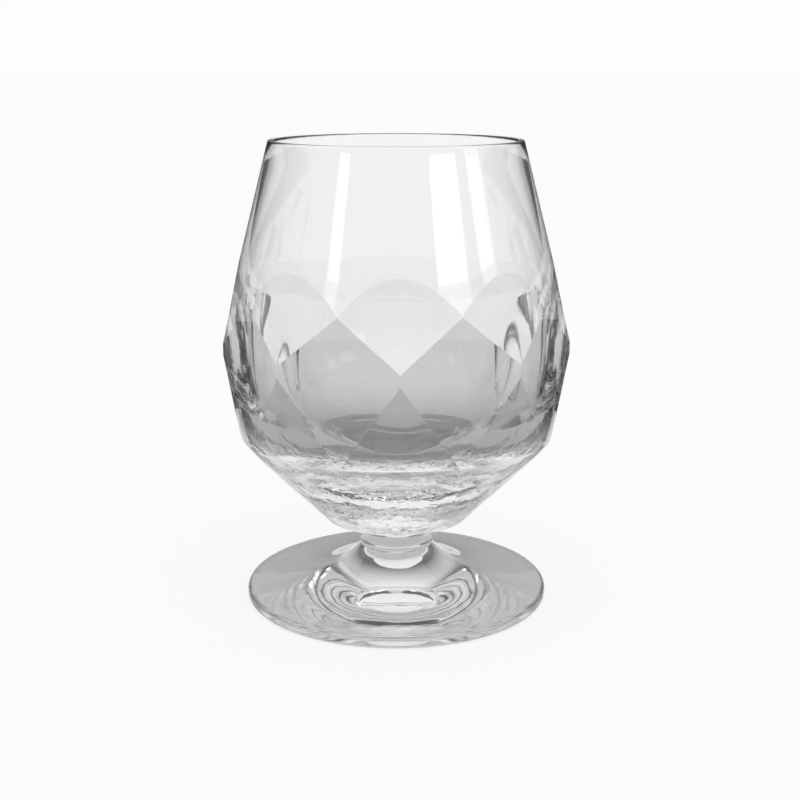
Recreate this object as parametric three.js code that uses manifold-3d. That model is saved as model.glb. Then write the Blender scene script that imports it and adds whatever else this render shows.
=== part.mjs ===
// Footed rum glass with a faceted bowl.
// Bowl, stem and foot are three gathers of clear glass that meet on flat faces.
// Millimetres, +Z up. The origin is the centre of the foot's resting face, and -Y faces the viewer.

import * as THREE from "three";
import { mergeVertices } from "three/addons/utils/BufferGeometryUtils.js";
import Module from "manifold-3d";

const wasm = await Module();
wasm.setup();

// Bowl: lip and upper wall
const GLASS_HEIGHT = 127.6;
const RIM_RADIUS = 34.1; // outside of the lip
const RIM_WALL = 1.5;
const SHOULDER_RADIUS = 44.7; // outside of the wall at the shoulder, and of the diamonds below it
const SHOULDER_HEIGHT = 87;

// Bowl: the cut band
const FACETS = 9; // shields, diamonds and triangles, each this many around
const GIRDLE_HEIGHT = 48.3; // lower tips of the diamonds
const TRIANGLE_TIP_HEIGHT = 70.8;
const SHIELD_POINT_HEIGHT = 73.9;
const SHIELD_FOOT_MARGIN = 0.3; // two shields meet on the wall this far above the shoulder
const SHIELD_RISE = 9.3; // arched top of a shield above its feet on the wall
const TRIANGLE_ROUNDING = 75; // radius of a triangle or petal from side to side, at the girdle
const BLANK_MARGIN = 1; // glass outside the facet corners that the cuts remove

// Bowl: the solid base below the girdle
const PETAL_TIP_HEIGHT = 37.6; // lowest point of the petals under the girdle
const GIRDLE_MARGIN = 0.3; // the lower cone passes this far outside the diamond tips
const RIDGE_RADIUS = 20.2;
const RIDGE_HEIGHT = 23.2;

// Bowl: the inside
const SHOULDER_WALL = 2.7; // glass behind the top corners of the diamonds
const WALL_END_HEIGHT = 100; // the inside leaves the upper wall's slope here
const BELLY_HEIGHT = 90; // the inside is widest here and narrows to its bottom
const INSIDE_BOTTOM_HEIGHT = 39;
const INSIDE_FULLNESS = 3; // 2 would be half an ellipse, and more is fuller at the bottom

// Stem, with the small bead at its lower end
const STEM_RADIUS = 9.45;
const STEM_TOP = 20.6;
const BEAD_RADIUS = 10.3;
const BEAD_HEIGHT = 1.5;
const STEM_BOTTOM = 14.4;

// Foot
const FOOT_RADIUS = 42.5;
const FOOT_EDGE = 3.3; // thickness at the edge
const EDGE_ROUNDING = 1.2;
const HUB_RADIUS = 9.9; // top of the foot, under the bead
const FLARE_RADIUS = 24; // where the hub's flare has run out into the plate
const FLARE_HEIGHT = 5;

// Fineness of the facets that stand for round faces
const ROUND_SEGMENTS = 72;
const DRUM_SEGMENTS = 108;
const ARCH_STEPS = 8; // along half of a shield's arched top
const CURVE_STEPS = 5;
const LIP_STEPS = 4;

const CUTTER_REACH = 150; // cutters reach this far, well past the glass
const FAN_REACH = 60; // a facet's fan is this many times as long as the facet
const FAN_OVERRUN = 0.02; // and starts this share of the facet's length beyond its tip
const WELD = 1e-4; // points nearer than this are one point
const HALF_PITCH = Math.PI / FACETS;
const PITCH = 2 * HALF_PITCH;
const QUARTER_TURN = Math.PI / 2;
const FRONT = -QUARTER_TURN; // azimuth of -Y, where a shield is centred

// The diamonds are upright flats, and each triangle's base runs through the tips of two of them.
const cornerRadius = SHOULDER_RADIUS / Math.cos(HALF_PITCH);
const tipAcross = SHOULDER_RADIUS * Math.cos(HALF_PITCH);
const tipAside = SHOULDER_RADIUS * Math.sin(HALF_PITCH);
const baseBulge = TRIANGLE_ROUNDING - Math.sqrt(TRIANGLE_ROUNDING ** 2 - tipAside ** 2);
const girdleRadius = tipAcross + baseBulge;

// Outside radius of the upper wall, and of the cone below the girdle, at a height.
const wallSlope = (SHOULDER_RADIUS - RIM_RADIUS) / (GLASS_HEIGHT - SHOULDER_HEIGHT);
const wallRadius = (z) => RIM_RADIUS + wallSlope * (GLASS_HEIGHT - z);
const coneSlope = (SHOULDER_RADIUS + GIRDLE_MARGIN - RIDGE_RADIUS) / (GIRDLE_HEIGHT - RIDGE_HEIGHT);
const coneRadius = (z) => RIDGE_RADIUS + coneSlope * (z - RIDGE_HEIGHT);

const point = (radius, height) => new THREE.Vector2(radius, height);

// A profile of (radius, height) points, turned about the axis and stood upright.
function turned(profile, segments = ROUND_SEGMENTS) {
  return new THREE.LatheGeometry(profile, segments).rotateX(QUARTER_TURN);
}

// The rounded inside, from its widest point down to the middle of its bottom.
function insideCurve(widest, bottom, steps) {
  const power = 2 / INSIDE_FULLNESS;
  const points = [];
  for (let i = 1; i < steps; i++) {
    const turn = (QUARTER_TURN * i) / steps;
    const across = widest.x * Math.cos(turn) ** power;
    const height = widest.y + (bottom.y - widest.y) * Math.sin(turn) ** power;
    points.push(point(across, height));
  }
  points.push(bottom);
  return points;
}

function solidOf(geometry) {
  const bare = geometry.clone();
  bare.deleteAttribute("normal");
  bare.deleteAttribute("uv");
  const merged = mergeVertices(bare, WELD);
  const corners = [];
  const index = merged.index.array;
  for (let i = 0; i < index.length; i += 3) {
    const [a, b, c] = [index[i], index[i + 1], index[i + 2]];
    if (a !== b && b !== c && c !== a) corners.push(a, b, c);
  }
  const mesh = new wasm.Mesh({
    numProp: 3,
    vertProperties: merged.attributes.position.array,
    triVerts: new Uint32Array(corners),
  });
  return new wasm.Manifold(mesh);
}

function geometryOf(solid) {
  const mesh = solid.getMesh();
  const geometry = new THREE.BufferGeometry();
  geometry.setAttribute("position", new THREE.BufferAttribute(mesh.vertProperties, 3));
  geometry.setIndex(new THREE.BufferAttribute(mesh.triVerts, 1));
  geometry.computeVertexNormals();
  return geometry;
}

function piece(name, geometry) {
  const glass = new THREE.MeshStandardMaterial({
    color: 0xf2f5f5,
    roughness: 0.03,
    metalness: 0,
    transparent: true,
    opacity: 0.35,
    flatShading: true,
  });
  const mesh = new THREE.Mesh(geometry, glass);
  mesh.name = name;
  return mesh;
}

// The bowl before it is cut: solid base, straight upper wall, rounded lip and smooth inside.
function bowlBlank() {
  const blankRadius = cornerRadius + BLANK_MARGIN;
  const blankTop = GLASS_HEIGHT - (blankRadius - RIM_RADIUS) / wallSlope;
  const blankBottom = RIDGE_HEIGHT + (blankRadius - RIDGE_RADIUS) / coneSlope;
  const lipRadius = RIM_WALL / 2;
  const lipStart = GLASS_HEIGHT - lipRadius;
  const bellyRadius = SHOULDER_RADIUS - SHOULDER_WALL;
  const innerRadius = (z) => wallRadius(z) - RIM_WALL;

  const profile = [
    point(0, STEM_TOP),
    point(STEM_RADIUS, STEM_TOP),
    point(RIDGE_RADIUS, RIDGE_HEIGHT),
    point(blankRadius, blankBottom),
    point(blankRadius, blankTop),
  ];
  for (let i = 0; i <= LIP_STEPS; i++) {
    const turn = (Math.PI * i) / LIP_STEPS;
    const across = wallRadius(lipStart) - lipRadius + lipRadius * Math.cos(turn);
    profile.push(point(across, lipStart + lipRadius * Math.sin(turn)));
  }
  const wallEnd = point(innerRadius(WALL_END_HEIGHT), WALL_END_HEIGHT);
  const belly = point(bellyRadius, BELLY_HEIGHT);
  const tangentDrop = (bellyRadius - wallEnd.x) / wallSlope;
  const shoulder = new THREE.QuadraticBezierCurve(
    wallEnd,
    point(bellyRadius, WALL_END_HEIGHT - tangentDrop),
    belly,
  );
  profile.push(...shoulder.getPoints(CURVE_STEPS));
  profile.push(...insideCurve(belly, point(0, INSIDE_BOTTOM_HEIGHT), 2 * CURVE_STEPS));
  return solidOf(turned(profile));
}

// A block whose inner face is one diamond.
function diamondBlock(azimuth) {
  const block = new THREE.BoxGeometry(CUTTER_REACH, 2 * CUTTER_REACH, 2 * CUTTER_REACH);
  block.translate(SHOULDER_RADIUS + CUTTER_REACH / 2, 0, 0);
  block.rotateZ(azimuth);
  return solidOf(block);
}

// A drum on an upright axis whose side holds the line between two points at an azimuth.
// It holds the bowl but for the glass outside that face.
function facetDrum(from, to, rounding, azimuth) {
  const slope = (to.x - from.x) / (to.y - from.y);
  const side = (z) => point(rounding + slope * (z - from.y), z);
  const top = GLASS_HEIGHT + BLANK_MARGIN;
  const drum = turned([point(0, 0), side(0), side(top), point(0, top)], DRUM_SEGMENTS);
  drum.translate(from.x - rounding, 0, 0);
  drum.rotateZ(azimuth);
  return solidOf(drum);
}

// The arched top of a shield on the wall's flats, from its right foot to its left one, x outwards.
function shieldArch() {
  const halfFlat = Math.PI / ROUND_SEGMENTS;
  const arch = [];
  for (let i = ARCH_STEPS + 1; i >= -ARCH_STEPS - 1; i--) {
    const share = i / ARCH_STEPS;
    const height = SHOULDER_HEIGHT + SHIELD_FOOT_MARGIN + SHIELD_RISE * (1 - share ** 2);
    const turn = share * HALF_PITCH;
    const offFlat = THREE.MathUtils.euclideanModulo(turn, 2 * halfFlat) - halfFlat;
    const across = (wallRadius(height) * Math.cos(halfFlat)) / Math.cos(offFlat);
    arch.push(new THREE.Vector3(across * Math.cos(turn), across * Math.sin(turn), height));
  }
  return arch;
}

// The girdle under a triangle, from left to right, x outwards.
function girdleArc() {
  const step = (2 * Math.PI) / DRUM_SEGMENTS;
  const reach = Math.ceil(Math.asin(tipAside / TRIANGLE_ROUNDING) / step);
  const arc = [];
  for (let i = -reach; i <= reach; i++) {
    const across = girdleRadius - TRIANGLE_ROUNDING + TRIANGLE_ROUNDING * Math.cos(i * step);
    arc.push(new THREE.Vector3(across, TRIANGLE_ROUNDING * Math.sin(i * step), GIRDLE_HEIGHT));
  }
  return arc;
}

// A fan of straight lines from a facet's tip through a curve, closed far behind the bowl.
// It holds the bowl but for the glass outside that face.
function facetFan(tip, curve, azimuth) {
  const middle = curve[(curve.length - 1) / 2];
  const apex = new THREE.Vector3(tip.x, 0, tip.y);
  apex.add(apex.clone().sub(middle).multiplyScalar(FAN_OVERRUN));
  const ends = curve.map((end) => end.clone().sub(apex).multiplyScalar(FAN_REACH).add(apex));
  const away = new THREE.Vector3(apex.x * (1 + FAN_OVERRUN), 0, apex.z + (apex.z - middle.z) * FAN_REACH);
  const corners = [];
  ends.slice(1).forEach((end, i) => {
    corners.push(apex, ends[i], end);
    corners.push(away, end, ends[i]);
  });
  corners.push(apex, ends[ends.length - 1], away);
  corners.push(apex, away, ends[0]);
  return solidOf(new THREE.BufferGeometry().setFromPoints(corners).rotateZ(azimuth));
}

function bowl() {
  const shieldPoint = point(cornerRadius, SHIELD_POINT_HEIGHT);
  const triangleTip = point(cornerRadius, TRIANGLE_TIP_HEIGHT);
  const girdle = point(girdleRadius, GIRDLE_HEIGHT);
  const petalTip = point(coneRadius(PETAL_TIP_HEIGHT), PETAL_TIP_HEIGHT);
  let solid = bowlBlank();
  for (let i = 0; i < FACETS; i++) {
    const azimuth = FRONT + i * PITCH;
    solid = solid.intersect(facetFan(shieldPoint, shieldArch(), azimuth));
    solid = solid.intersect(facetFan(triangleTip, girdleArc(), azimuth));
    solid = solid.intersect(facetDrum(girdle, petalTip, TRIANGLE_ROUNDING, azimuth));
    solid = solid.subtract(diamondBlock(azimuth + HALF_PITCH));
  }
  return piece("bowl", geometryOf(solid));
}

function stem() {
  const beadTop = STEM_BOTTOM + BEAD_HEIGHT;
  const beadMiddle = STEM_BOTTOM + BEAD_HEIGHT / 2;
  const profile = [point(0, STEM_BOTTOM), point(HUB_RADIUS, STEM_BOTTOM)];
  const bead = new THREE.SplineCurve([
    point(HUB_RADIUS, STEM_BOTTOM),
    point(BEAD_RADIUS, beadMiddle),
    point(STEM_RADIUS, beadTop),
  ]);
  profile.push(...bead.getPoints(CURVE_STEPS).slice(1));
  profile.push(point(STEM_RADIUS, STEM_TOP), point(0, STEM_TOP));
  return piece("stem", turned(profile));
}

function foot() {
  const restRadius = FOOT_RADIUS - EDGE_ROUNDING;
  const highCentre = FOOT_EDGE - EDGE_ROUNDING;
  const edge = (height, from, to) =>
    new THREE.EllipseCurve(restRadius, height, EDGE_ROUNDING, EDGE_ROUNDING, from, to);
  const profile = [point(0, 0)];
  profile.push(...edge(EDGE_ROUNDING, -QUARTER_TURN, 0).getPoints(LIP_STEPS));
  profile.push(...edge(highCentre, 0, QUARTER_TURN).getPoints(LIP_STEPS).slice(0, -1));
  const plate = new THREE.CubicBezierCurve(
    point(restRadius, FOOT_EDGE),
    point(FLARE_RADIUS, FLARE_HEIGHT),
    point(HUB_RADIUS, FLARE_HEIGHT),
    point(HUB_RADIUS, STEM_BOTTOM),
  );
  profile.push(...plate.getPoints(2 * CURVE_STEPS));
  profile.push(point(0, STEM_BOTTOM));
  return piece("foot", turned(profile));
}

const glass = new THREE.Group();
glass.add(bowl(), stem(), foot());

export default glass;
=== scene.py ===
# Looks of the footed rum glass: clear cut glass, with painted shade on its cut faces, stem and foot,
# on a pale floor in soft studio light.
# +Z is up, in the frame of the solids. Sizes of the glass are in millimetres and are scaled once.
# Sizes of the studio are in metres.

import math

import bpy
import numpy as np
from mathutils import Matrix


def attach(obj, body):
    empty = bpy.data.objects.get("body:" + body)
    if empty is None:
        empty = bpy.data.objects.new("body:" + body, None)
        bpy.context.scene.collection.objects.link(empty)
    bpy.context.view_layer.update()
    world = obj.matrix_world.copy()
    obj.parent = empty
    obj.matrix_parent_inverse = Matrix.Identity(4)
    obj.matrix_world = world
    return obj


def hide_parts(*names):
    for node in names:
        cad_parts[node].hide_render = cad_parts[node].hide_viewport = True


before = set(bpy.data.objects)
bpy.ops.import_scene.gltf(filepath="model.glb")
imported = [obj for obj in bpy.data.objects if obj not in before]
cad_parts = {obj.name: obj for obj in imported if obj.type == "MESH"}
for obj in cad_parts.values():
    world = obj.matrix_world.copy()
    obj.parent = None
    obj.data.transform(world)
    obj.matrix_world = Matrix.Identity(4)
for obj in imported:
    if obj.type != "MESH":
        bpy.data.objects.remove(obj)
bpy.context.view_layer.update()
scene = bpy.context.scene

MM = 0.001

# Bowl
GLASS_HEIGHT = 127.6
RIM_RADIUS = 34.1
RIM_WALL = 1.5
SHOULDER_RADIUS = 44.7
SHOULDER_HEIGHT = 87.0
FACETS = 9
GIRDLE_HEIGHT = 48.3
TRIANGLE_TIP_HEIGHT = 70.8
SHIELD_POINT_HEIGHT = 73.9
SHIELD_FOOT_MARGIN = 0.3
SHIELD_RISE = 9.3
TRIANGLE_ROUNDING = 75.0
PETAL_TIP_HEIGHT = 37.6
GIRDLE_MARGIN = 0.3
RIDGE_RADIUS = 20.2
RIDGE_HEIGHT = 23.2
SHOULDER_WALL = 2.7
WALL_END_HEIGHT = 100.0
BELLY_HEIGHT = 90.0
INSIDE_BOTTOM_HEIGHT = 39.0
INSIDE_FULLNESS = 3.0

# Stem
STEM_RADIUS = 9.45
STEM_TOP = 20.6
BEAD_RADIUS = 10.3
BEAD_HEIGHT = 1.5
STEM_BOTTOM = 14.4

# Foot, whose flare is drawn by two points between the edge and the hub
FOOT_RADIUS = 42.5
FOOT_EDGE = 3.3
EDGE_ROUNDING = 1.2
HUB_RADIUS = 9.9
FLARE_RADIUS = 24.0
FLARE_HEIGHT = 5.0
CONE_RADIUS = 18.0
CONE_HEIGHT = 6.5

# Fineness of the meshes
HALF_COLUMNS = 16
FLAT_ROWS = 2
FACET_ROWS = 8
TIP_SHARE = 0.999
WALL_ROWS = 6
LIP_ROWS = 12
INSIDE_ROWS = 40
CURVE_ROWS = 14
PLATE_ROWS = 80
HALVINGS = 60

HALF_PITCH = math.pi / FACETS
FRONT = -math.pi / 2
PITCH_COLUMNS = 2 * HALF_COLUMNS
COLUMNS = PITCH_COLUMNS * FACETS
COLUMN_TURNS = [FRONT - HALF_PITCH + 2 * math.pi * j / COLUMNS for j in range(COLUMNS)]

corner_radius = SHOULDER_RADIUS / math.cos(HALF_PITCH)
tip_across = SHOULDER_RADIUS * math.cos(HALF_PITCH)
tip_aside = SHOULDER_RADIUS * math.sin(HALF_PITCH)
girdle_radius = tip_across + TRIANGLE_ROUNDING - math.sqrt(TRIANGLE_ROUNDING**2 - tip_aside**2)
wall_slope = (SHOULDER_RADIUS - RIM_RADIUS) / (GLASS_HEIGHT - SHOULDER_HEIGHT)
cone_slope = (SHOULDER_RADIUS + GIRDLE_MARGIN - RIDGE_RADIUS) / (GIRDLE_HEIGHT - RIDGE_HEIGHT)


def wall_radius(z):
    return RIM_RADIUS + wall_slope * (GLASS_HEIGHT - z)


def cone_radius(z):
    return RIDGE_RADIUS + cone_slope * (z - RIDGE_HEIGHT)


# Where a function of one number that changes sign between two others is nought.
def root_between(function, low, high):
    low_sign = function(low) > 0
    for _ in range(HALVINGS):
        middle = (low + high) / 2
        if (function(middle) > 0) == low_sign:
            low = middle
        else:
            high = middle
    return (low + high) / 2


# Radius of a fan of straight lines, from a facet's tip to a curve, at an angle and a height.
# The curve gives a radius and a height for an angle from the facet's middle.
def fan_radius(tip, curve, angle, z):
    def place(turn):
        radius, height = curve(turn)
        share = (z - tip[1]) / (height - tip[1])
        across = tip[0] + share * (radius * math.cos(turn) - tip[0])
        return across, share * radius * math.sin(turn)

    def miss(turn):
        across, aside = place(turn)
        return math.atan2(aside, across) - angle

    return math.hypot(*place(root_between(miss, 0.0, HALF_PITCH + angle)))


# The arched top of a shield on the wall.
def shield_arch(turn):
    z = SHOULDER_HEIGHT + SHIELD_FOOT_MARGIN + SHIELD_RISE * (1 - (turn / HALF_PITCH) ** 2)
    return wall_radius(z), z


# The girdle under a triangle, an arc round an upright axis.
def girdle_arc(turn):
    centre = girdle_radius - TRIANGLE_ROUNDING
    aside = centre * math.sin(turn)
    return centre * math.cos(turn) + math.sqrt(TRIANGLE_ROUNDING**2 - aside**2), GIRDLE_HEIGHT


# Radius of each face of the cut band at an angle from the shield's middle and a height.
def petal_radius(angle, z):
    centre = girdle_radius - TRIANGLE_ROUNDING
    slope = (girdle_radius - cone_radius(PETAL_TIP_HEIGHT)) / (GIRDLE_HEIGHT - PETAL_TIP_HEIGHT)
    side = TRIANGLE_ROUNDING + slope * (z - GIRDLE_HEIGHT)
    return centre * math.cos(angle) + math.sqrt(side**2 - (centre * math.sin(angle)) ** 2)


def triangle_radius(angle, z):
    return fan_radius((corner_radius, TRIANGLE_TIP_HEIGHT), girdle_arc, angle, z)


def diamond_radius(angle):
    return SHOULDER_RADIUS / math.cos(HALF_PITCH - angle)


def shield_radius(angle, z):
    return fan_radius((corner_radius, SHIELD_POINT_HEIGHT), shield_arch, angle, z)


# One upright column of the bowl's outside, from the ridge to the lip, as (radius, height, face).
# The edges of a diamond run straight from its tips to its side corners, on the flat.
def outside_column(angle):
    def petal_depth(z):
        return cone_radius(z) - petal_radius(angle, z)

    cone_end = root_between(petal_depth, RIDGE_HEIGHT, GIRDLE_HEIGHT)
    share = min(diamond_radius(angle) * math.sin(angle) / tip_aside, TIP_SHARE)
    triangle_end = TRIANGLE_TIP_HEIGHT + (GIRDLE_HEIGHT - TRIANGLE_TIP_HEIGHT) * share
    diamond_end = SHIELD_POINT_HEIGHT + (SHOULDER_HEIGHT - SHIELD_POINT_HEIGHT) * share
    shield_end = shield_arch(angle)[1]
    faces = [
        ("cone", cone_radius, RIDGE_HEIGHT, cone_end, FLAT_ROWS),
        ("petal", lambda z: petal_radius(angle, z), cone_end, GIRDLE_HEIGHT, FLAT_ROWS),
        ("triangle", lambda z: triangle_radius(angle, z), GIRDLE_HEIGHT, triangle_end, FACET_ROWS),
        ("diamond", lambda z: diamond_radius(angle), triangle_end, diamond_end, FLAT_ROWS),
        ("shield", lambda z: shield_radius(angle, z), diamond_end, shield_end, FACET_ROWS),
        ("wall", wall_radius, shield_end, lip_profile[0][1], WALL_ROWS),
    ]
    column = []
    for name, radius, low, high, rows in faces:
        for i in range(rows):
            z = low + (high - low) * i / rows
            on_flat = name == "shield" and i == 0
            column.append((diamond_radius(angle) if on_flat else radius(z), z, name))
    return column


# The rounded lip, tangent to the outside and inside of the wall.
lip_lean = math.atan(wall_slope)
lip_radius = RIM_WALL * math.cos(lip_lean) / 2
lip_height = GLASS_HEIGHT - lip_radius
lip_centre = wall_radius(lip_height) - RIM_WALL / 2
lip_profile = []
for i in range(LIP_ROWS + 1):
    turn = lip_lean + math.pi * i / LIP_ROWS
    across = lip_centre + lip_radius * math.cos(turn)
    lip_profile.append((across, lip_height + lip_radius * math.sin(turn)))


# The inside, from the lip down to the middle of the bottom.
def inside_profile():
    belly = SHOULDER_RADIUS - SHOULDER_WALL
    start = (wall_radius(WALL_END_HEIGHT) - RIM_WALL, WALL_END_HEIGHT)
    bend = (belly, WALL_END_HEIGHT - (belly - start[0]) / wall_slope)
    depth = BELLY_HEIGHT - INSIDE_BOTTOM_HEIGHT
    points = []
    for i in range(1, WALL_ROWS):
        z = lip_profile[-1][1] + (start[1] - lip_profile[-1][1]) * i / WALL_ROWS
        points.append((wall_radius(z) - RIM_WALL, z))
    for i in range(CURVE_ROWS):
        t = i / CURVE_ROWS
        across = start[0] * (1 - t) ** 2 + 2 * bend[0] * t * (1 - t) + belly * t**2
        up = start[1] * (1 - t) ** 2 + 2 * bend[1] * t * (1 - t) + BELLY_HEIGHT * t**2
        points.append((across, up))
    for i in range(INSIDE_ROWS):
        turn = math.pi / 2 * i / INSIDE_ROWS
        across = belly * math.cos(turn) ** (2 / INSIDE_FULLNESS)
        up = BELLY_HEIGHT - depth * math.sin(turn) ** (2 / INSIDE_FULLNESS)
        points.append((across, up))
    return points


# A closed mesh from rings of points, each ring with the name of the faces that start at it.
# A name may be a function of the column. A ring of one point closes an end.
def ring_mesh(name, rings, face_names):
    vertices = []
    starts = []
    for points in rings:
        starts.append(len(vertices))
        vertices.extend(points)
    faces = []
    labels = []
    for row in range(len(rings) - 1):
        low, high = rings[row], rings[row + 1]
        for j in range(COLUMNS):
            k = (j + 1) % COLUMNS
            corners = [starts[row] + j % len(low), starts[row] + k % len(low)]
            corners += [starts[row + 1] + k % len(high), starts[row + 1] + j % len(high)]
            corners = list(dict.fromkeys(corners))
            if len(corners) > 2:
                faces.append(corners)
                labels.append(face_names[row](j) if callable(face_names[row]) else face_names[row])
    mesh = bpy.data.meshes.new(name)
    mesh.from_pydata([[c * MM for c in v] for v in vertices], [], faces)
    return mesh, labels


# Round parts are shaded smooth and every edge between two differently named faces is crisp.
def crisp_edges(mesh, labels):
    mesh.polygons.foreach_set("use_smooth", [True] * len(mesh.polygons))
    beside = {}
    for polygon, label in zip(mesh.polygons, labels):
        for key in polygon.edge_keys:
            beside.setdefault(key, set()).add(label)
    for edge in mesh.edges:
        edge.use_edge_sharp = len(beside[edge.key]) > 1


# The glass of faces that have no glass of their own.
FACE_KINDS = {"wall": "clear", "underside": "clear", "bead": "stem", "side": "stem"}


def add_piece(name, node, rings, face_names):
    mesh, labels = ring_mesh(name, rings, face_names)
    crisp_edges(mesh, labels)
    for material in glass_materials.values():
        mesh.materials.append(material)
    kinds = list(glass_materials)
    for polygon, label in zip(mesh.polygons, labels):
        face = label[0] if isinstance(label, tuple) else label
        polygon.material_index = kinds.index(FACE_KINDS.get(face, face))
    piece = bpy.data.objects.new(name, mesh)
    scene.collection.objects.link(piece)
    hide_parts(node)
    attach(piece, "root")


def ring(radius, z):
    if radius == 0:
        return [(0.0, 0.0, z)]
    return [(radius * math.cos(turn), radius * math.sin(turn), z) for turn in COLUMN_TURNS]


def add_turned(name, node, profile):
    rings = [ring(radius, z) for radius, z, _ in profile]
    add_piece(name, node, rings, [label for _, _, label in profile[:-1]])


# Glass, with waves as (strength, scale), and lengths of waves and edges in metres
GLASS_IOR = 1.52
TINT_SCALE = 40.0
TINT_SPREAD = 0.01
CUT_WAVE = (0.6, 250.0)
FOOT_WAVE = (0.25, 90.0)
WAVE_DEPTH = 0.0005
EDGE_RADIUS = 0.0004
EDGE_SAMPLES = 4
RAMP_MIDDLE = 0.5

# Tones of the faces, from black at 0 to clear at 1. Every tone below clear is painted shade,
# standing in for the grey floor and shadow seen through the glass.
CLEAR = 0.99
SHIELD_PAINTED_SHADE = 0.85
DIAMOND_LOW_PAINTED_SHADE = 0.28
DIAMOND_HIGH_PAINTED_SHADE = 0.45
TRIANGLE_PAINTED_SHADE = 0.18
PETAL_PAINTED_SHADE = 0.7
CONE_PAINTED_SHADE = 0.9
STEM_PAINTED_SHADE = 0.75
FOOT_PAINTED_SHADE = 0.76

# Heights between which the painted shade of diamonds and triangles changes
DIAMOND_FADE_END = 54.0
DIAMOND_DARK_END = 61.0
DIAMOND_PALE_START = 74.0
TRIANGLE_FADE_END = 52.5


def grey(level):
    return (level, level, level, 1.0)


# A faintly clouded colour round one tone. Any tone below clear is painted shade.
def clouding_and_painted_shade(tree, place, tone):
    cloud = tree.nodes.new("ShaderNodeTexNoise")
    cloud.inputs["Scale"].default_value = TINT_SCALE
    tone_ramp = tree.nodes.new("ShaderNodeValToRGB")
    dimmed = tone - TINT_SPREAD / 2
    tone_ramp.color_ramp.elements[0].color = (tone - TINT_SPREAD, dimmed, dimmed, 1.0)
    tone_ramp.color_ramp.elements[1].color = grey(tone)
    tree.links.new(place, cloud.inputs["Vector"])
    tree.links.new(cloud.outputs["Fac"], tone_ramp.inputs["Fac"])
    return tone_ramp.outputs["Color"]


# Painted shade whose tone changes with height, given as (height, tone) from low to high.
def rising_painted_shade(tree, place, tones):
    low = tones[0][0]
    high = tones[-1][0]
    split = tree.nodes.new("ShaderNodeSeparateXYZ")
    rise = tree.nodes.new("ShaderNodeMapRange")
    rise.inputs["From Min"].default_value = low * MM
    rise.inputs["From Max"].default_value = high * MM
    tone_ramp = tree.nodes.new("ShaderNodeValToRGB")
    while len(tone_ramp.color_ramp.elements) < len(tones):
        tone_ramp.color_ramp.elements.new(RAMP_MIDDLE)
    for stop, (height, tone) in zip(tone_ramp.color_ramp.elements, tones):
        stop.position = (height - low) / (high - low)
        stop.color = grey(tone)
    tree.links.new(place, split.inputs["Vector"])
    tree.links.new(split.outputs["Z"], rise.inputs["Value"])
    tree.links.new(rise.outputs["Result"], tone_ramp.inputs["Fac"])
    return tone_ramp.outputs["Color"]


def node_material(name):
    material = bpy.data.materials.new(name)
    material.use_nodes = True
    return material


# Clear glass with slightly rounded edges, whose tone colours only what enters from outside. A tone
# below clear is painted shade.
# A wave unsettles the face as polishing leaves it.
def glass_material(name, tone, wave=None):
    material = node_material(name)
    tree = material.node_tree
    shader = tree.nodes["Principled BSDF"]
    shader.inputs["Transmission Weight"].default_value = 1.0
    shader.inputs["IOR"].default_value = GLASS_IOR
    shader.inputs["Roughness"].default_value = 0.0
    place = tree.nodes.new("ShaderNodeTexCoord").outputs["Object"]
    coloured = rising_painted_shade if isinstance(tone, tuple) else clouding_and_painted_shade
    geometry = tree.nodes.new("ShaderNodeNewGeometry")
    side = tree.nodes.new("ShaderNodeMix")
    side.data_type = "RGBA"
    side.inputs["B"].default_value = grey(1.0)
    tree.links.new(geometry.outputs["Backfacing"], side.inputs["Factor"])
    tree.links.new(coloured(tree, place, tone), side.inputs["A"])
    tree.links.new(side.outputs["Result"], shader.inputs["Base Color"])
    edge = tree.nodes.new("ShaderNodeBevel")
    edge.samples = EDGE_SAMPLES
    edge.inputs["Radius"].default_value = EDGE_RADIUS
    normal = edge.outputs["Normal"]
    if wave:
        strength, scale = wave
        ripple = tree.nodes.new("ShaderNodeTexNoise")
        ripple.inputs["Scale"].default_value = scale
        bump = tree.nodes.new("ShaderNodeBump")
        bump.inputs["Strength"].default_value = strength
        bump.inputs["Distance"].default_value = WAVE_DEPTH
        tree.links.new(place, ripple.inputs["Vector"])
        tree.links.new(ripple.outputs["Fac"], bump.inputs["Height"])
        tree.links.new(normal, bump.inputs["Normal"])
        normal = bump.outputs["Normal"]
    tree.links.new(normal, shader.inputs["Normal"])
    return material


# The faces where two gathers are fused let everything through.
def fused_material(name):
    material = node_material(name)
    tree = material.node_tree
    shader = tree.nodes["Principled BSDF"]
    shader.inputs["Alpha"].default_value = 0.0
    place = tree.nodes.new("ShaderNodeTexCoord").outputs["Object"]
    tree.links.new(clouding_and_painted_shade(tree, place, CLEAR), shader.inputs["Base Color"])
    return material


# Painted shade on diamonds and triangles: clear at the girdle, darkest low on the faces, and paler
# higher up on the diamonds.
DIAMOND_PAINTED_SHADES = (
    (GIRDLE_HEIGHT, CLEAR),
    (DIAMOND_FADE_END, DIAMOND_LOW_PAINTED_SHADE),
    (DIAMOND_DARK_END, DIAMOND_LOW_PAINTED_SHADE),
    (DIAMOND_PALE_START, DIAMOND_HIGH_PAINTED_SHADE),
    (SHOULDER_HEIGHT, DIAMOND_HIGH_PAINTED_SHADE),
)
TRIANGLE_PAINTED_SHADES = (
    (GIRDLE_HEIGHT, CLEAR),
    (TRIANGLE_FADE_END, TRIANGLE_PAINTED_SHADE),
    (TRIANGLE_TIP_HEIGHT, TRIANGLE_PAINTED_SHADE),
)
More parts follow.
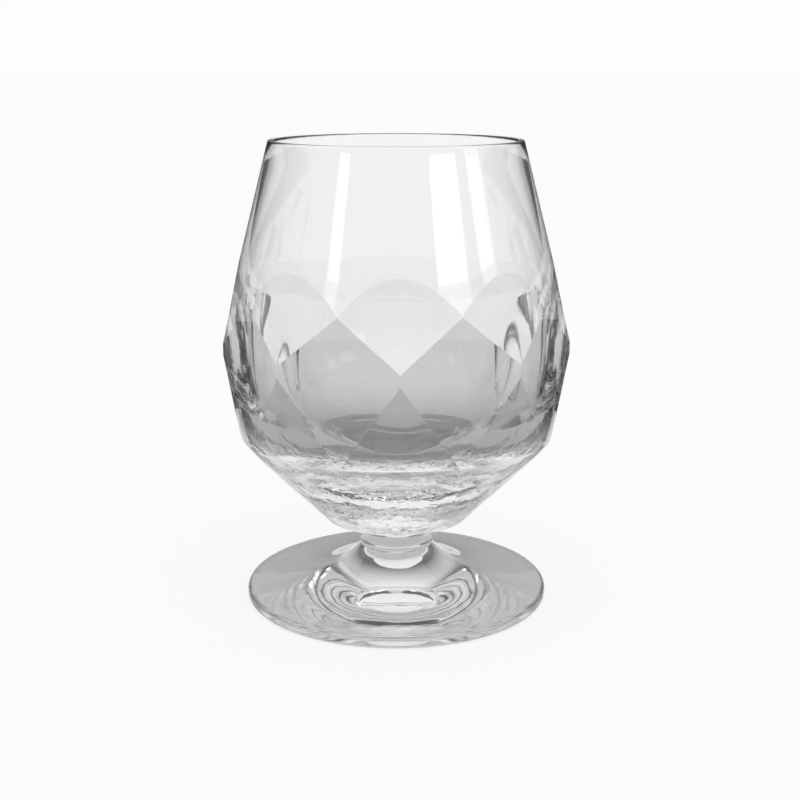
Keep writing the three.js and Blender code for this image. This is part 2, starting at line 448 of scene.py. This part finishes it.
# All glass but the clear glass and the fused faces carries painted shade as its tone.
glass_materials = {
    "clear": glass_material("clear_glass", CLEAR),
    "joint": fused_material("fused_face"),
    "shield": glass_material("shield_glass_painted_shade", SHIELD_PAINTED_SHADE),
    "diamond": glass_material("diamond_glass_painted_shade", DIAMOND_PAINTED_SHADES),
    "triangle": glass_material("triangle_glass_painted_shade", TRIANGLE_PAINTED_SHADES),
    "petal": glass_material("petal_glass_painted_shade", PETAL_PAINTED_SHADE, CUT_WAVE),
    "cone": glass_material("base_glass_painted_shade", CONE_PAINTED_SHADE, CUT_WAVE),
    "stem": glass_material("stem_glass_painted_shade", STEM_PAINTED_SHADE),
    "plate": glass_material("foot_glass_painted_shade", FOOT_PAINTED_SHADE, FOOT_WAVE),
}


# A facet's name with its place round the bowl, so that its neighbour counts as another face.
def facet_label(name):
    def label(j):
        if name in ("petal", "triangle", "shield"):
            return (name, j // PITCH_COLUMNS)
        if name == "diamond":
            return (name, ((j + HALF_COLUMNS) // PITCH_COLUMNS) % FACETS)
        return name

    return label


# Bowl
half_columns = [outside_column(HALF_PITCH * i / HALF_COLUMNS) for i in range(HALF_COLUMNS + 1)]
bowl_rings = [ring(0, STEM_TOP), ring(STEM_RADIUS, STEM_TOP)]
bowl_labels = ["joint", "underside"]
for row in range(len(half_columns[0])):
    points = []
    for j, turn in enumerate(COLUMN_TURNS):
        steps_aside = abs(j % PITCH_COLUMNS - HALF_COLUMNS)
        radius, z, _ = half_columns[steps_aside][row]
        points.append((radius * math.cos(turn), radius * math.sin(turn), z))
    bowl_rings.append(points)
    bowl_labels.append(facet_label(half_columns[0][row][2]))
for radius, z in lip_profile + inside_profile():
    bowl_rings.append(ring(radius, z))
    bowl_labels.append("wall")
bowl_rings.append(ring(0, INSIDE_BOTTOM_HEIGHT))
add_piece("bowl_glass", "bowl", bowl_rings, bowl_labels)

# Stem
bead_top = STEM_BOTTOM + BEAD_HEIGHT
bead_swell = BEAD_RADIUS - (HUB_RADIUS + STEM_RADIUS) / 2
stem_profile = [(0, STEM_BOTTOM, "joint")]
for i in range(CURVE_ROWS):
    t = i / CURVE_ROWS
    across = HUB_RADIUS + (STEM_RADIUS - HUB_RADIUS) * t + bead_swell * math.sin(math.pi * t)
    stem_profile.append((across, STEM_BOTTOM + BEAD_HEIGHT * t, "bead"))
stem_profile.append((STEM_RADIUS, bead_top, "side"))
stem_profile.append((STEM_RADIUS, STEM_TOP, "joint"))
stem_profile.append((0, STEM_TOP, "joint"))
add_turned("stem_glass", "stem", stem_profile)

# Foot
rest_radius = FOOT_RADIUS - EDGE_ROUNDING
foot_profile = [(0, 0, "underside")]
for centre, first in ((EDGE_ROUNDING, -math.pi / 2), (FOOT_EDGE - EDGE_ROUNDING, 0)):
    for i in range(CURVE_ROWS):
        turn = first + math.pi / 2 * i / CURVE_ROWS
        across = rest_radius + EDGE_ROUNDING * math.cos(turn)
        foot_profile.append((across, centre + EDGE_ROUNDING * math.sin(turn), "plate"))
bend_points = np.array(
    [
        (rest_radius, FOOT_EDGE),
        (FLARE_RADIUS, FLARE_HEIGHT),
        (CONE_RADIUS, CONE_HEIGHT),
        (HUB_RADIUS, STEM_BOTTOM),
    ]
)
for i in range(PLATE_ROWS):
    t = i / PLATE_ROWS
    shares = np.array([(1 - t) ** 3, 3 * t * (1 - t) ** 2, 3 * t**2 * (1 - t), t**3])
    across, up = shares @ bend_points
    foot_profile.append((float(across), float(up), "plate"))
foot_profile.append((HUB_RADIUS, STEM_BOTTOM, "joint"))
foot_profile.append((0, STEM_BOTTOM, "joint"))
add_turned("foot_glass", "foot", foot_profile)

# Studio: a pale floor, dim walls, a pale ceiling, a white backdrop, soft lamps and dark screens
WHITE_LEVEL = 0.98
STAGE_ROUGHNESS = 0.9


# One number worked out from two, each of them a socket or a plain number.
def worked_out(tree, operation, first, second):
    node = tree.nodes.new("ShaderNodeMath")
    node.operation = operation
    for value, socket in zip((first, second), node.inputs):
        if isinstance(value, float):
            socket.default_value = value
        else:
            tree.links.new(value, socket)
    return node.outputs["Value"]


# Whether a ray comes from glass.
def from_glass(tree, ray):
    return worked_out(tree, "MAXIMUM", ray["Is Glossy Ray"], ray["Is Transmission Ray"])


def stage_mesh(name, corners, faces, material):
    mesh = bpy.data.meshes.new(name)
    mesh.from_pydata(corners, [], faces)
    mesh.materials.append(material)
    piece = bpy.data.objects.new(name, mesh)
    scene.collection.objects.link(piece)
    return piece


def stage_material(name, level):
    material = node_material(name)
    shader = material.node_tree.nodes["Principled BSDF"]
    shader.inputs["Base Color"].default_value = grey(level)
    shader.inputs["Roughness"].default_value = STAGE_ROUGHNESS
    shader.inputs["Specular IOR Level"].default_value = 0.0
    return material


# Mixes two shaders into a material's surface by the second one's share.
def mix_surface(tree, share, first, second):
    mix = tree.nodes.new("ShaderNodeMixShader")
    tree.links.new(share, mix.inputs["Fac"])
    tree.links.new(first, mix.inputs[1])
    tree.links.new(second, mix.inputs[2])
    tree.links.new(mix.outputs["Shader"], tree.nodes["Material Output"].inputs["Surface"])


# Floor
FLOOR_SIZE = 60.0
FLOOR_GAP = 0.0002
FLOOR_GREY = 0.9
WHITE_SHARE = 0.85
GLASS_WHITE_SHARE = 0.3


# The floor is mostly white to the camera, partly white in the glass, and keeps some of the shadow.
def floor_material():
    material = stage_material("floor", FLOOR_GREY)
    tree = material.node_tree
    ray = tree.nodes.new("ShaderNodeLightPath").outputs
    to_camera = worked_out(tree, "MULTIPLY", ray["Is Camera Ray"], WHITE_SHARE)
    to_glass = worked_out(tree, "MULTIPLY", from_glass(tree, ray), GLASS_WHITE_SHARE)
    share = worked_out(tree, "MAXIMUM", to_camera, to_glass)
    white = tree.nodes.new("ShaderNodeEmission")
    white.inputs["Strength"].default_value = WHITE_LEVEL
    lit = tree.nodes["Principled BSDF"]
    mix_surface(tree, share, lit.outputs["BSDF"], white.outputs["Emission"])
    return material


half = FLOOR_SIZE / 2
floor_corners = [(-half, -half, -FLOOR_GAP), (half, -half, -FLOOR_GAP)]
floor_corners += [(half, half, -FLOOR_GAP), (-half, half, -FLOOR_GAP)]
stage_mesh("floor", floor_corners, [(0, 1, 2, 3)], floor_material())

# Strip lamps, each with its bearing from the front towards +X, in degrees, and its width
LAMP_ELEVATION = 23
LAMP_DISTANCE = 1.0
LAMP_HEIGHT = 0.28
LAMP_LEVEL = 2.0
AIM_HEIGHT = 0.07
STRIP_LAMPS = {
    "wide_strip": (40, 0.39),
    "narrow_strip_left": (-47, 0.15),
    "narrow_strip_right": (69, 0.22),
}


# A strip lamp faces the middle of the glass.
def strip_lamp(name, bearing, width):
    turn = math.radians(bearing)
    rise = math.radians(LAMP_ELEVATION)
    reach = LAMP_DISTANCE * math.cos(rise)
    height = LAMP_DISTANCE * math.sin(rise) + AIM_HEIGHT
    data = bpy.data.lights.new(name, "AREA")
    data.shape = "RECTANGLE"
    data.size = width
    data.size_y = LAMP_HEIGHT
    data.energy = LAMP_LEVEL * math.pi * width * LAMP_HEIGHT
    lamp = bpy.data.objects.new(name, data)
    lamp.location = (reach * math.sin(turn), -reach * math.cos(turn), height)
    lamp.rotation_euler = (math.pi / 2 - rise, 0, turn)
    scene.collection.objects.link(lamp)


for name, (bearing, width) in STRIP_LAMPS.items():
    strip_lamp(name, bearing, width)

# A wide soft light from above lights the whole floor evenly and doesn't show in the glass.
SKY_ELEVATION = 75
SKY_WIDTH = 40
SKY_LEVEL = 0.4
sky_data = bpy.data.lights.new("sky", "SUN")
sky_data.angle = math.radians(SKY_WIDTH)
sky_data.energy = SKY_LEVEL
sky = bpy.data.objects.new("sky", sky_data)
sky.rotation_euler = (math.pi / 2 - math.radians(SKY_ELEVATION), 0, 0)
scene.collection.objects.link(sky)
sky.visible_glossy = False
sky.visible_transmission = False

# Dark screens, as (distance, height), stand round the glass unseen by the camera and draw its edges.
SCREEN_GREY = 0.12
SCREEN_SIDES = 24
FAR_SCREEN = (0.6, 0.2)
NEAR_SCREEN = (0.2, 0.05)

# Light that goes straight through both walls of the bowl has four bounces, fewer than this.
STRAIGHT_BOUNCES = 4.5


# A screen shows in reflections and to light turned back inside the glass, not straight through it.
def screen_material():
    material = stage_material("dark_screen", SCREEN_GREY)
    tree = material.node_tree
    ray = tree.nodes.new("ShaderNodeLightPath").outputs
    turned_back = worked_out(tree, "GREATER_THAN", ray["Ray Depth"], STRAIGHT_BOUNCES)
    share = worked_out(tree, "MAXIMUM", ray["Is Reflection Ray"], turned_back)
    unseen = tree.nodes.new("ShaderNodeBsdfTransparent")
    dark = tree.nodes["Principled BSDF"]
    mix_surface(tree, share, unseen.outputs["BSDF"], dark.outputs["BSDF"])
    return material


def dark_screen(name, distance, height, material):
    corners = []
    for z in (0.0, height):
        for i in range(SCREEN_SIDES):
            turn = 2 * math.pi * i / SCREEN_SIDES
            corners.append((distance * math.cos(turn), distance * math.sin(turn), z))
    faces = []
    for i in range(SCREEN_SIDES):
        k = (i + 1) % SCREEN_SIDES
        faces.append((i, k, SCREEN_SIDES + k, SCREEN_SIDES + i))
    screen = stage_mesh(name, corners, faces, material)
    screen.visible_camera = False
    screen.visible_diffuse = False
    screen.visible_shadow = False


screen_look = screen_material()
dark_screen("far_screen", *FAR_SCREEN, screen_look)
dark_screen("near_screen", *NEAR_SCREEN, screen_look)

# World: dim walls and a pale ceiling, white all round to the camera and white behind in the glass
# The walls end and the ceiling starts at these rises of a direction. The reach is in degrees.
WALL_LEVEL = 0.12
CEILING_LEVEL = 1.0
WALL_END = 0.2
CEILING_START = 0.55
BACKDROP_REACH = 14.0
world = bpy.data.worlds.new("studio")
scene.world = world
world.use_nodes = True
air = world.node_tree
direction = air.nodes.new("ShaderNodeSeparateXYZ")
room = air.nodes.new("ShaderNodeMapRange")
room.inputs["From Min"].default_value = WALL_END
room.inputs["From Max"].default_value = CEILING_START
room.inputs["To Min"].default_value = WALL_LEVEL
room.inputs["To Max"].default_value = CEILING_LEVEL
air.links.new(air.nodes.new("ShaderNodeTexCoord").outputs["Generated"], direction.inputs["Vector"])
air.links.new(direction.outputs["Z"], room.inputs["Value"])
sight = air.nodes.new("ShaderNodeLightPath").outputs
reach_cosine = math.cos(math.radians(BACKDROP_REACH))
behind = worked_out(air, "GREATER_THAN", direction.outputs["Y"], reach_cosine)
backdrop = worked_out(air, "MULTIPLY", from_glass(air, sight), behind)
white_places = worked_out(air, "MAXIMUM", sight["Is Camera Ray"], backdrop)
white_shown = worked_out(air, "MULTIPLY", white_places, WHITE_LEVEL)
level = worked_out(air, "MAXIMUM", room.outputs["Result"], white_shown)
background = air.nodes["Background"]
background.inputs["Color"].default_value = grey(1.0)
air.links.new(level, background.inputs["Strength"])

# Camera, as fitted to the photograph, in millimetres and radians
CAMERA_LENS = 60.06
CAMERA_SENSOR = 36.0
CAMERA_CLIP_START = 10.0
CAMERA_DISTANCE = 361.6
CAMERA_HEIGHT = 146.24
CAMERA_PITCH = 0.2445
CAMERA_AZIMUTH = -0.02094
CAMERA_YAW = -0.0029
camera_data = bpy.data.cameras.new("camera")
camera_data.lens = CAMERA_LENS
camera_data.sensor_width = CAMERA_SENSOR
camera_data.clip_start = CAMERA_CLIP_START * MM
camera = bpy.data.objects.new("camera", camera_data)
camera.location = (
    CAMERA_DISTANCE * math.sin(CAMERA_AZIMUTH) * MM,
    -CAMERA_DISTANCE * math.cos(CAMERA_AZIMUTH) * MM,
    CAMERA_HEIGHT * MM,
)
camera.rotation_euler = (math.pi / 2 - CAMERA_PITCH, 0, CAMERA_YAW + CAMERA_AZIMUTH)
scene.collection.objects.link(camera)
bpy.context.scene.camera = camera

# Light needs many bounces in thick glass.
GLASS_BOUNCES = 32
GLOSSY_BOUNCES = 16
scene.view_settings.view_transform = "Standard"
scene.cycles.max_bounces = GLASS_BOUNCES
scene.cycles.transmission_bounces = GLASS_BOUNCES
scene.cycles.glossy_bounces = GLOSSY_BOUNCES
scene.cycles.transparent_max_bounces = GLASS_BOUNCES
